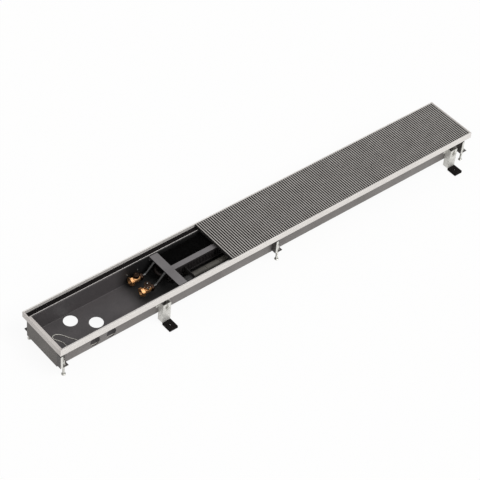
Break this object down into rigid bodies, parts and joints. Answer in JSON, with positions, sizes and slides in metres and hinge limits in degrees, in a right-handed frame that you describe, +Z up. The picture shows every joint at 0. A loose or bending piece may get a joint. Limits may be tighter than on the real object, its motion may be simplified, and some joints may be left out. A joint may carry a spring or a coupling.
{
  "type": "trench convector heater",
  "caption": "Long floor-trench convector heater: sheet trough with edge frame, partly open cross-bar grille, cross-flow fan, finned exchanger, valves and levelling feet.",
  "frame": {"origin": "on the floor of the room's void, under the middle of the trough", "axes": "+X along the trough from the fittings towards the grille's closed end, +Y across it away from the fan side, +Z up"},
  "size_m": [2.25, 0.3686, 0.16],
  "materials": {
    "trough_paint": "fine-textured dark grey powder coat",
    "rivet_steel": "dull blind rivets",
    "frame_aluminium": "natural anodised, satin",
    "key_steel": "zinc plated",
    "strip_rubber": "matt black",
    "grille_aluminium": "natural anodised, satin",
    "rod_steel": "drawn steel",
    "spacer_plastic": "matt black",
    "inner_sheet": "satin grey powder coat",
    "screw_steel": "zinc plated",
    "fin_coat": "matt black coated aluminium fins",
    "copper": "bare copper tube",
    "pipe_lacquer": "gloss black lacquer on metal pipe",
    "end_plate": "satin black",
    "brass": "turned and forged brass",
    "cap_brass": "turned brass",
    "pin_steel": "bright steel",
    "motor_paint": "satin black",
    "shaft_steel": "ground steel",
    "impeller_metal": "dull grey aluminium blades",
    "bracket_sheet": "satin dark grey",
    "bush_rubber": "matt black",
    "galvanised": "hot-dip galvanised sheet",
    "foot_steel": "zinc plated",
    "bolt_steel": "zinc plated",
    "pad_rubber": "matt black",
    "box_plastic": "matt dark grey",
    "lid_plastic": "matt dark grey",
    "lead_sheath": "smooth light grey sheath"
  },
  "bodies": {
    "trench": {"trough": "trough_paint", "end_wall_left": "trough_paint", "end_wall_right": "trough_paint", "end_wall_rivets": "rivet_steel", "frame_front": "frame_aluminium", "frame_rear": "frame_aluminium", "frame_left": "frame_aluminium", "frame_right": "frame_aluminium", "frame_corner_keys": "key_steel", "ledge_strips": "strip_rubber", "bridge_left": "inner_sheet", "bridge_middle": "inner_sheet", "bridge_right": "inner_sheet", "bridge_screws": "screw_steel", "air_guide": "inner_sheet", "exchanger_fins": "fin_coat", "exchanger_tubes": "copper", "exchanger_bends": "copper", "exchanger_end_plates": "end_plate", "air_vent_body": "brass", "supply_pipe": "pipe_lacquer", "return_pipe": "pipe_lacquer", "union_nuts": "brass", "thermostatic_valve": "brass", "regulating_valve": "brass", "fan_motor": "motor_paint", "fan_brackets": "bracket_sheet", "bearing_bushes": "bush_rubber", "fan_scroll": "bracket_sheet", "levelling_brackets": "galvanised", "levelling_nuts": "foot_steel", "anchor_brackets": "galvanised", "anchor_feet": "galvanised", "anchor_pads": "pad_rubber", "anchor_bolts": "bolt_steel", "wall_screws": "screw_steel", "terminal_box": "box_plastic", "fan_lead": "lead_sheath"},
    "grille": {"grille_bars": "grille_aluminium", "grille_rods": "rod_steel", "grille_spacers": "spacer_plastic"},
    "valve_pin": {"valve_pin": "pin_steel"},
    "regulating_cap": {"regulating_cap": "cap_brass"},
    "air_vent_screw": {"air_vent_screw": "pin_steel"},
    "fan_rotor": {"fan_shaft": "shaft_steel", "impeller_left": "impeller_metal", "impeller_right": "impeller_metal"},
    "terminal_lid": {"terminal_lid": "lid_plastic"},
    "levelling_screw_fl": {"levelling_screw_fl": "foot_steel"},
    "levelling_screw_fm": {"levelling_screw_fm": "foot_steel"},
    "levelling_screw_fr": {"levelling_screw_fr": "foot_steel"},
    "levelling_screw_rl": {"levelling_screw_rl": "foot_steel"},
    "levelling_screw_rm": {"levelling_screw_rm": "foot_steel"},
    "levelling_screw_rr": {"levelling_screw_rr": "foot_steel"}
  },
  "joints": [
    {"name": "grille_slide", "type": "slide", "parent": "trench", "child": "grille", "axis": [1, 0, 0], "range_m": [-0.86, 0]},
    {"name": "valve_pin_push", "type": "slide", "parent": "trench", "child": "valve_pin", "axis": [0, 0, -1], "range_m": [0, 0.0025], "stiffness_N_per_m": 6000},
    {"name": "regulating_cap_turn", "type": "hinge", "parent": "trench", "child": "regulating_cap", "pos_m": [-0.601, 0.0773, 0.099], "axis": [0, 0, 1], "range_deg": [0, 360]},
    {"name": "air_vent_turn", "type": "hinge", "parent": "trench", "child": "air_vent_screw", "pos_m": [0.943, 0.0773, 0.137], "axis": [0, 0, 1], "range_deg": [0, 360]},
    {"name": "fan_spin", "type": "hinge", "parent": "trench", "child": "fan_rotor", "pos_m": [0, -0.068, 0.095], "axis": [1, 0, 0], "continuous": true},
    {"name": "terminal_lid_lift", "type": "slide", "parent": "trench", "child": "terminal_lid", "axis": [0, 0, 1], "range_m": [0, 0.05]},
    {"name": "levelling_fl", "type": "slide", "parent": "trench", "child": "levelling_screw_fl", "axis": [0, 0, 1], "range_m": [-0.01, 0.015]},
    {"name": "levelling_fm", "type": "slide", "parent": "trench", "child": "levelling_screw_fm", "axis": [0, 0, 1], "range_m": [-0.01, 0.015]},
    {"name": "levelling_fr", "type": "slide", "parent": "trench", "child": "levelling_screw_fr", "axis": [0, 0, 1], "range_m": [-0.01, 0.015]},
    {"name": "levelling_rl", "type": "slide", "parent": "trench", "child": "levelling_screw_rl", "axis": [0, 0, 1], "range_m": [-0.01, 0.015]},
    {"name": "levelling_rm", "type": "slide", "parent": "trench", "child": "levelling_screw_rm", "axis": [0, 0, 1], "range_m": [-0.01, 0.015]},
    {"name": "levelling_rr", "type": "slide", "parent": "trench", "child": "levelling_screw_rr", "axis": [0, 0, 1], "range_m": [-0.01, 0.015]}
  ]
}
